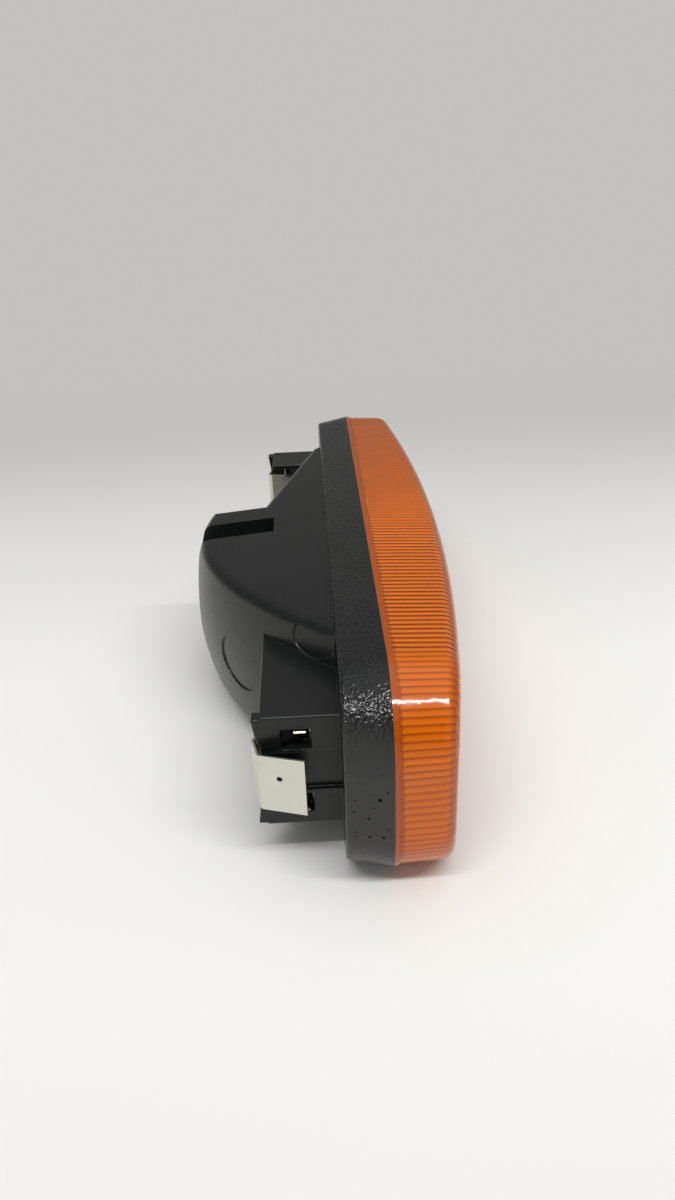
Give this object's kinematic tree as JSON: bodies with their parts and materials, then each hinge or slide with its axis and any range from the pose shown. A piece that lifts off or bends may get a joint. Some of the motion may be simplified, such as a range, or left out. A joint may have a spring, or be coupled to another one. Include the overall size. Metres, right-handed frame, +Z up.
{
  "type": "cab roof marker lamp",
  "caption": "Long amber marker lamp for a truck cab roof, with a fluted lens, a black housing with a parabolic bowl and spring clips that hold it in a panel opening.",
  "frame": {"origin": "middle of the opening in the roof panel, on the plane where the back of the rim meets the panel", "axes": "+X along the lamp, -Y the way the lens faces, +Z up as the lamp is mounted and as it stands in the picture"},
  "size_m": [0.1876, 0.0642, 0.05],
  "materials": {
    "housing_plastic": "black moulding, fine grain on the rim, satin on the bowl",
    "lens_plastic": "clear amber plastic, glossy outside, fluted inside",
    "clip_steel": "zinc-plated spring steel",
    "holder_plastic": "dark grey moulding",
    "gasket_rubber": "soft black rubber",
    "contact_brass": "plain brass strip",
    "bulb_glass": "clear glass",
    "lead_wire": "bright nickel wire",
    "filament_wire": "drawn tungsten wire"
  },
  "bodies": {
    "root": {"housing": "housing_plastic", "lens": "lens_plastic", "clip_left": "clip_steel", "clip_right": "clip_steel", "bulb_holder": "holder_plastic", "holder_gasket": "gasket_rubber", "contact_upper": "contact_brass", "contact_lower": "contact_brass", "bulb_glass": "bulb_glass", "bulb_leads": "lead_wire", "bulb_filament": "filament_wire"}
  },
  "joints": []
}
